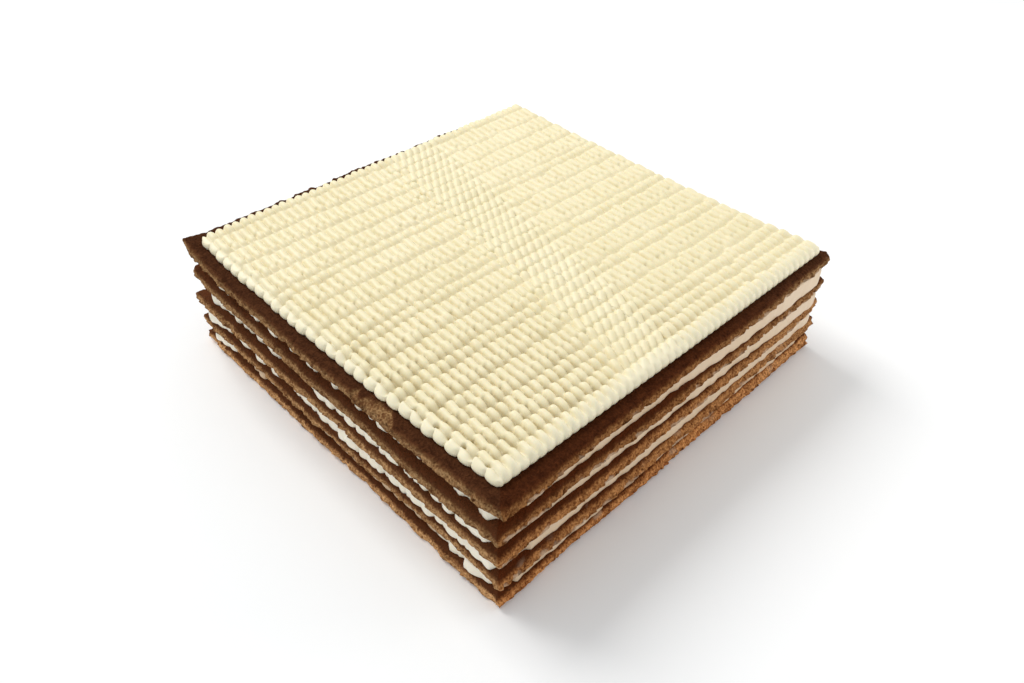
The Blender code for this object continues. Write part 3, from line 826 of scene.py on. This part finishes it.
def make_strokes():
    """Every lobe of the piping as a rounded stroke: its middle, half length, turn, width and height."""
    draw = np.random.default_rng(STROKE_SEED)
    first, last = lane_ends()
    columns, rows = np.meshgrid(np.arange(LOBES), np.arange(ROWS))
    left, y = top_point(columns, rows + 0.5)
    right, _ = top_point(columns + 1, rows + 0.5)
    band = band_share(left, y)
    far = far_share(left, y)

    def jitter(name):
        return draw.normal(0, STROKE_JITTER[name], left.shape)

    apart = bead_share(left, y) * draw.uniform(*APART_SIZES, left.shape)
    apart = apart * (NEAR_APART + (1 - NEAR_APART) * far)
    neck = NECK / 2 + NECK_SPREAD * apart + jitter("neck")
    neck = neck + NEAR_NECK * (1 - far)
    start = left + np.where(first, HEAD_START, neck) + jitter("start") * first
    end = right + np.where(last, TAIL_REACH - TAIL_SPREAD * apart, -neck) + jitter("end") * last
    middle = (start + end) / 2
    half = (end - start) / 2
    middle = middle + ((left + right) / 2 - middle) * band
    half = half + (BEAD_HALF_SEGMENT - half) * band
    height = HEAD_HEIGHT + jitter("height") - SECOND_LOBE_DROP * ~first * (1 - band)
    width = STROKE_WIDTH + (BEAD_WIDTH - STROKE_WIDTH) * band + jitter("width")
    width = width + STROKE_WIDENING * far
    width[0] *= FIRST_ROW_WIDTH
    height[0] -= FIRST_ROW_DROP + FAR_ROW_DROP * far[0]
    return {
        "x": middle,
        "y": y + jitter("y"),
        "half": half,
        "turn": STROKE_TURN + (BAND_TURN - STROKE_TURN) * band + jitter("turn"),
        "width": width,
        "height": height,
        "drop": TAIL_DROP * last * (1 - BAND_TAIL_LOSS * band),
        "rise": STROKE_RISE + jitter("rise"),
    }


def soft_max(one, other, blend):
    """The higher of two heights, rounded over where they meet."""
    near = np.clip(1 - np.abs(one - other) / blend, 0, 1)
    return np.maximum(one, other) + near * near * blend / 4


def stroke_height(strokes, row, column, x, y):
    """Height of one stroke's upper surface at points, below the piping where the stroke isn't."""
    picked = {key: values[row, column] for key, values in strokes.items()}
    turn_x = np.cos(picked["turn"])
    turn_y = np.sin(picked["turn"])
    away_x = x - picked["x"]
    away_y = y - picked["y"]
    along = away_x * turn_x + away_y * turn_y
    across = away_y * turn_x - away_x * turn_y
    beyond = np.maximum(np.abs(along) - picked["half"], 0.0)
    reach = (across * across + beyond * beyond) / picked["width"] ** 2
    tail = (along - picked["half"]) / TAIL_LENGTH + 1
    fall = CREST_FALL * (along / picked["half"] + 1) / 2
    crest = picked["height"] - fall - picked["drop"] * ease(tail * 0.8)
    dome = np.sqrt(np.clip(1 - reach, 0, 1)) * picked["rise"]
    return np.where(reach < 1, crest - picked["rise"] + dome, NO_STROKE)


def hole_share(lobe, row):
    """Open holes in the first rows, between two lobes: 1 in the middle of a hole and 0 outside."""
    first, _ = lane_ends()
    share = np.zeros(lobe.shape)
    draw = random.Random(HOLE_SEED)
    for column in range(1, LOBES):
        for line, size in HOLE_ROWS:
            size = size * draw.uniform(*HOLE_SIZES) * (0.25 + 0.75 * ease(column / LOBES * 1.6 - 0.4))
            size = size * (LANE_START_HOLE if first[line, column] else 1.0)
            away_x = (lobe - column - draw.uniform(-HOLE_SWAY, HOLE_SWAY)) * SIDE / LOBES
            away_y = (row - line - draw.uniform(-HOLE_SWAY, HOLE_SWAY)) * SIDE / ROWS
            reach = np.hypot(away_x, away_y) / (HOLE_WIDTH * size + 0.0001)
            share = np.maximum(share, ease(1.25 - reach) * size)
    return share


def piping_height(strokes, lobe, row, x, y):
    """Height of the piped surface over the top sheet, from the strokes round each point."""
    column = np.clip(np.floor(lobe).astype(int), 0, LOBES - 1)
    line = np.clip(np.floor(row).astype(int), 0, ROWS - 1)
    beads = bead_share(x, y)
    far = far_share(x, y)
    plain = far * (1 - beads)
    surface = FILL_HEIGHT + (FAR_FILL + TAIL_FILL * tail_share(lobe)) * plain + BAND_FILL * beads
    surface = surface + RIGHT_FILL * ease(RIM_LOBES - (LOBES - lobe)) * (1 - far)
    blend = BLEND + FAR_BLEND * plain
    for step_y in (-1, 0, 1):
        for step_x in (-1, 0, 1):
            r = line + step_y
            c = column + step_x
            there = (r >= 0) & (r < ROWS) & (c >= 0) & (c < LOBES)
            height = stroke_height(strokes, np.clip(r, 0, ROWS - 1), np.clip(c, 0, LOBES - 1), x, y)
            surface = soft_max(surface, np.where(there, height, NO_STROKE), blend)
    return surface - HOLE_DEPTH * hole_share(lobe, row)


def grid_marks(cuts, start, end):
    """Marks along a direction: the cuts repeated in each cell from start to end, and the end."""
    marks = [cell + cut for cell in range(start, end) for cut in cuts]
    return np.array(marks + [float(end)])


def rim_bulges(lobe, row):
    """How far the rim of the cream top swells out: front and back lobes, row ends left and right."""
    draw = np.random.default_rng(RIM_SEED)
    front_size = draw.uniform(*FRONT_LOBE_SIZES, LOBES + 1)
    left_size = draw.uniform(*LEFT_ROW_SIZES, ROWS + 1)
    across = np.mod(lobe, 1.0)
    lobe_round = np.sqrt(4 * across * (1 - across))
    row_round = np.abs(np.sin(math.pi * row))
    ends = front_size[np.floor(lobe).astype(int)] * lobe_round
    lefts = left_size[np.floor(row).astype(int)] * row_round ** 1.2
    return ends, lefts, RIGHT_ROW_SIZE * row_round ** 0.7


def rim_share(lobe, row):
    """How far points are up the rounded rim of the cream top: 0 at the rim and 1 where the crests start."""
    front = np.maximum(row * SIDE / ROWS - FIRST_ROW_CUT * np.minimum(row, 1), 0) / FRONT_BROW_RADIUS
    back = (ROWS - row) * SIDE / ROWS / BROW_RADIUS
    left = lobe * SIDE / LOBES / BROW_RADIUS
    right = (LOBES - lobe) * SIDE / LOBES / BROW_RADIUS
    return np.clip(np.minimum(np.minimum(front, back), np.minimum(left, right)), 0, 1)


def make_top_part(number, material):
    """One half of the piped cream top: a fine surface of strokes, a rounded rim and a wall."""
    start, end = TOP_PARTS[number]
    lobe_marks = grid_marks(LOBE_CUTS, 0, LOBES)
    row_marks = grid_marks(ROW_CUTS, start, end)
    lobe, row = np.meshgrid(lobe_marks, row_marks)
    ends, lefts, rights = rim_bulges(lobe, row)
    x, y = top_point(lobe, row)
    near_front = np.clip(1 - row, 0, 1) ** 2
    near_back = np.clip(1 - (ROWS - row), 0, 1) ** 2
    near_left = np.clip(1 - lobe * RIM_NARROWING, 0, 1) ** 2
    near_right = np.clip(1 - (LOBES - lobe) * RIM_NARROWING, 0, 1) ** 2
    height = piping_height(make_strokes(), lobe, row, x, y)
    beads = bead_share(x, y)
    far = far_share(x, y)
    # Painted shade: the cream is darker deep in the grooves below the crests and in the valleys between the
    # lanes
    painted_shade_and_stain = np.clip((HEAD_HEIGHT - height - GROOVE_START) / (GROOVE_FULL - GROOVE_START), 0, 1)
    painted_shade_and_stain = painted_shade_and_stain * (1 - BEAD_GROOVE_LOSS * beads) * (1 - FAR_GROOVE_LOSS * far)
    valley = VALLEY_SHADE * tail_share(lobe) * far * (1 - beads)
    painted_shade_and_stain = np.maximum(painted_shade_and_stain, valley * (1 - BACK_SHADE_LOSS * rising(y, *BACK_SHADE_RISE)))
    y = y - ends * near_front + ends * near_back
    x = x - lefts * near_left + rights * near_right
    brow = np.sqrt(1 - (1 - rim_share(lobe, row)) ** 2)
    height = WALL_HEIGHT + (height - WALL_HEIGHT) * brow
    base = sheet_top(4)
    surface = np.column_stack((x.ravel() + CENTRE_SHIFT[0], y.ravel() + CENTRE_SHIFT[1],
                               base + (height + top_sheet_lift(x, y)).ravel()))
    down, across = x.shape
    index = np.arange(across * down).reshape(down, across)
    quads = np.stack((index[:-1, :-1], index[:-1, 1:], index[1:, 1:], index[1:, :-1]), axis=-1)
    faces = quads.reshape(-1, 4).tolist()
    rim = np.concatenate((index[0, :-1], index[:-1, -1], index[-1, :0:-1], index[:0:-1, 0]))
    walls, wall_faces = make_wall(surface[rim], rim, len(surface), base)
    name = "piped_top_%d" % (number + 1)
    thing = new_object(name, np.concatenate((surface, walls)), faces + wall_faces, material)
    paint(thing, "painted_shade_and_stain", np.concatenate(((painted_shade_and_stain * brow).ravel(), np.zeros(len(walls)))))
    rim_shown = np.maximum(ease(RIM_LOBES - row), ease(RIM_LOBES - (LOBES - lobe)))
    paint(thing, "rim", np.concatenate((rim_shown.ravel(), np.ones(len(walls)))))
    return thing


def make_wall(rim_points, rim, start, base):
    """Rings from the rim of the cream top down to the sheet, and the closed underside."""
    flat = rim_points[:, :2]
    run = np.roll(flat, -2, axis=0) - np.roll(flat, 2, axis=0)
    out = np.column_stack((run[:, 1], -run[:, 0]))
    out /= np.linalg.norm(out, axis=1)[:, None]
    count = len(rim)
    lift = top_sheet_lift(*(flat - CENTRE_SHIFT).T)
    drop = rim_points[:, 2] - base - lift
    outer = np.abs(flat - CENTRE_SHIFT).max(axis=1) > OUTER_REACH
    rings = []
    for share in WALL_SHARES:
        swell = WALL_SWELL * math.sin(math.pi * share * 0.95) - WALL_TUCK * share ** 3
        xy = flat + out * (swell * outer)[:, None]
        rings.append(np.column_stack((xy, base + lift + drop * (1 - share) - WALL_SINK * (share == 1.0))))
    inner = flat + (flat.mean(axis=0) - flat) * 0.06
    inner_lift = top_sheet_lift(*(inner - CENTRE_SHIFT).T)
    rings.append(np.column_stack((inner, base + inner_lift - WALL_SINK)))
    faces = []
    upper = list(rim)
    for ring in range(len(rings)):
        lower = [start + ring * count + i for i in range(count)]
        for i in range(count):
            after = (i + 1) % count
            faces.append((int(upper[i]), lower[i], lower[after], int(upper[after])))
        upper = lower
    faces.append(tuple(reversed(upper)))
    return np.concatenate(rings), faces


def node_tree(name):
    """A new material, its Principled shader, a maker of further nodes and a maker of links."""
    material = bpy.data.materials.new(name)
    material.use_nodes = True
    nodes = material.node_tree.nodes
    links = material.node_tree.links
    shader = nodes["Principled BSDF"]

    def add(kind, inputs=None, **settings):
        node = nodes.new(kind)
        for key, value in settings.items():
            setattr(node, key, value)
        for key, value in (inputs or {}).items():
            if isinstance(value, bpy.types.NodeSocket):
                links.new(value, node.inputs[key])
            else:
                node.inputs[key].default_value = value
        return node

    return material, shader, add, links.new


def painted(add, name):
    """The number that was stored for each vertex under a name."""
    return add("ShaderNodeAttribute", attribute_name=name).outputs["Fac"]


def mix_colours(add, share, first, second, blend="MIX"):
    """A mix of two colours or colour sockets."""
    inputs = {0: share, 6: first, 7: second}
    return add("ShaderNodeMix", data_type="RGBA", blend_type=blend, inputs=inputs).outputs[2]


def noise_share(add, place, scale, low, high):
    """Noise stretched so that it runs from 0 to 1 between two levels."""
    cloud = add("ShaderNodeTexNoise", inputs={"Vector": place, "Scale": scale, "Detail": 3.0})
    levels = {"Value": cloud.outputs["Fac"], "From Min": low, "From Max": high}
    return add("ShaderNodeMapRange", inputs=levels).outputs["Result"]


def ramp(add, share, stops):
    """A colour that changes through several stops as the share runs from 0 to 1."""
    node = add("ShaderNodeValToRGB", inputs={"Fac": share})
    elements = node.color_ramp.elements
    while len(elements) < len(stops):
        elements.new(0.5)
    for element, (position, colour) in zip(elements, stops):
        element.position = position
        element.color = colour
    return node.outputs["Color"]


def maths(add, operation, one, other):
    """One sum on two numbers or sockets."""
    return add("ShaderNodeMath", operation=operation, inputs={0: one, 1: other}).outputs[0]


def sponge_material(name, lightness_and_bounce, crust):
    """Dark baked crust on top that fades into a lighter, porous crumb where the sheet is cut."""
    material, shader, add, join = node_tree(name)
    place = add("ShaderNodeTexCoord").outputs["Object"]
    crumb = painted(add, "crumb")
    smear = painted(add, "smear")
    grain = noise_share(add, place, GRAIN_SCALE, *SPONGE_LEVELS)
    clouds = noise_share(add, place, CLOUD_SCALE, *SPONGE_LEVELS)
    tone = maths(add, "ADD", maths(add, "MULTIPLY", grain, 0.6), maths(add, "MULTIPLY", clouds, 0.4))
    holes = add("ShaderNodeTexVoronoi", inputs={"Vector": place, "Scale": PORE_SCALE})
    pore = add("ShaderNodeMapRange", inputs={"Value": holes.outputs["Distance"], "From Min": 0.12,
                                             "From Max": 0.34, "To Min": 0.45}).outputs["Result"]
    light = maths(add, "ADD", maths(add, "MULTIPLY", tone, 0.62), 0.34)
    cut = maths(add, "MULTIPLY", maths(add, "MULTIPLY", crumb, light), pore)
    shade = maths(add, "ADD", cut, maths(add, "MULTIPLY", tone, 0.14))
    stops = [(0.0, crust + (1,)), (CRUMB_TONES[0][0], CRUMB_TONES[0][1] + (1,))]
    stops += [(spot, tuple(channel * lightness_and_bounce for channel in tone) + (1,)) for spot, tone in CRUMB_TONES[1:]]
    # Painted shade along the right side: the crumb and crust are darker and redder there, less towards the
    # back corner
    right = painted(add, "right")
    colour = mix_colours(add, right, ramp(add, shade, stops), RIGHT_SHADE_TINT, "MULTIPLY")
    colour = mix_colours(add, maths(add, "MULTIPLY", smear, 0.8), colour, SMEAR_COLOUR)
    join(colour, shader.inputs["Base Color"])
    shader.inputs["Roughness"].default_value = 0.9
    shader.inputs["Specular IOR Level"].default_value = 0.04
    relief = maths(add, "ADD", grain, holes.outputs["Distance"])
    bump = add("ShaderNodeBump", inputs={"Height": relief, "Strength": 0.8, "Distance": 0.0004})
    join(bump.outputs["Normal"], shader.inputs["Normal"])
    return material


def cream_material(name, tones, roughness):
    """Soft whipped cream: slightly uneven colour, darker with painted shade in the grooves and tinted by
    crumb stain and painted shade where told, with a gentle gloss.
    """
    light, shade, painted_shade_and_stain = tones
    material, shader, add, join = node_tree(name)
    place = add("ShaderNodeTexCoord").outputs["Object"]
    uneven = noise_share(add, place, 45.0, 0.35, 0.65)
    # Painted shade in the top's grooves, and crumb stain and painted shade on the layers, mix in the darker
    # tint
    depth = painted(add, "painted_shade_and_stain")
    colour = mix_colours(add, depth, mix_colours(add, uneven, shade, light), painted_shade_and_stain)
    rim = painted(add, "rim")
    colour = mix_colours(add, rim, colour, RIM_COLOUR)
    join(colour, shader.inputs["Base Color"])
    shader.inputs["Roughness"].default_value = roughness
    shader.inputs["Specular IOR Level"].default_value = 0.4
    shader.inputs["Subsurface Weight"].default_value = 0.1
    shader.inputs["Subsurface Radius"].default_value = (0.0016, 0.0012, 0.0007)
    shader.inputs["Subsurface Scale"].default_value = 1.0
    fine = add("ShaderNodeTexNoise", inputs={"Vector": place, "Scale": 700.0, "Detail": 3.0})
    bump = add("ShaderNodeBump", inputs={"Height": fine.outputs["Fac"], "Strength": 0.12, "Distance": 0.0003})
    join(bump.outputs["Normal"], shader.inputs["Normal"])
    return material


def floor_material():
    """Plain pale matt floor."""
    material, shader, add, join = node_tree("pale_floor")
    place = add("ShaderNodeTexCoord").outputs["Object"]
    share = noise_share(add, place, 3.0, 0.3, 0.7)
    join(mix_colours(add, share, *FLOOR_TONES), shader.inputs["Base Color"])
    shader.inputs["Roughness"].default_value = 0.9
    return material


def make_floor():
    """A wide flat floor under the object."""
    bpy.ops.mesh.primitive_plane_add(size=8.0, location=(0, 0, 0))
    floor = bpy.context.object
    floor.name = "floor"
    floor.data.materials.append(floor_material())


def add_light(name, direction, distance, size, power, colour):
    """A square soft light that faces the object from a direction."""
    light = bpy.data.lights.new(name, "AREA")
    light.shape = "SQUARE"
    light.size = size
    light.energy = power
    light.color = colour
    thing = bpy.data.objects.new(name, light)
    aim = Vector(direction).normalized()
    thing.location = aim * distance
    thing.rotation_mode = "QUATERNION"
    thing.rotation_quaternion = aim.to_track_quat("Z", "Y")
    bpy.context.scene.collection.objects.link(thing)


def light_scene():
    """Soft studio light from the left, a weak one from the right back, and a bright even surround."""
    add_light("key", *KEY_LIGHT)
    add_light("right_back", *RIGHT_BACK_LIGHT)
    world = bpy.data.worlds.new("surround")
    bpy.context.scene.world = world
    world.use_nodes = True
    back = world.node_tree.nodes["Background"]
    back.inputs["Color"].default_value = (0.945, 0.975, 1.0, 1)
    back.inputs["Strength"].default_value = 0.665
    bpy.context.scene.view_settings.view_transform = "Standard"


def make_camera():
    """The camera at the photograph's place, looking the same way."""
    data = bpy.data.cameras.new("camera")
    data.sensor_fit = "HORIZONTAL"
    data.sensor_width = SENSOR
    data.lens = LENS
    data.clip_start = 0.01
    camera = bpy.data.objects.new("camera", data)
    turn = Matrix.Rotation(VIEW_AZIMUTH, 4, "Z")
    turn = turn @ Matrix.Rotation(math.pi / 2 - VIEW_PITCH, 4, "X")
    turn = turn @ Matrix.Rotation(VIEW_ROLL, 4, "Z")
    eye = Vector(EYE) + Vector((CENTRE_SHIFT[0], CENTRE_SHIFT[1], 0))
    camera.matrix_world = Matrix.Translation(eye) @ turn
    bpy.context.scene.collection.objects.link(camera)
    bpy.context.scene.camera = camera


def stand_for(piece, node):
    """Lets a piece ride on the object in place of its solid."""
    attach(piece, "root")
    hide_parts(node)


def main():
    """Makes the camera, the dressed pieces, the floor and the light."""
    make_camera()
    filling = cream_material("filling_look", FILLING_TONES, FILLING_ROUGHNESS)
    topping = cream_material("topping_look", TOPPING_TONES, TOPPING_ROUGHNESS)
    for sheet in range(len(SHEET_THICKNESS)):
        # The hidden sheets' crust is painted lighter and redder, against the shade between the layers
        crust = CRUST if sheet == len(SHEET_THICKNESS) - 1 else INNER_CRUST_PAINTED_LIGHTER
        # The lower sheets' crumb is painted lighter, partly as light bounced up from the floor
        sponge = sponge_material("sponge_look_%d" % (sheet + 1), SHEET_TONE_AND_BOUNCE_LIGHT[sheet], crust)
        stand_for(make_sheet(sheet, sponge), "sponge_%d" % (sheet + 1))
    for layer in range(len(CREAM_HEIGHT)):
        stand_for(make_layer(layer, filling), "cream_%d" % (layer + 1))
    for part in range(len(TOP_PARTS)):
        stand_for(make_top_part(part, topping), "cream_top")
    make_floor()
    light_scene()


main()
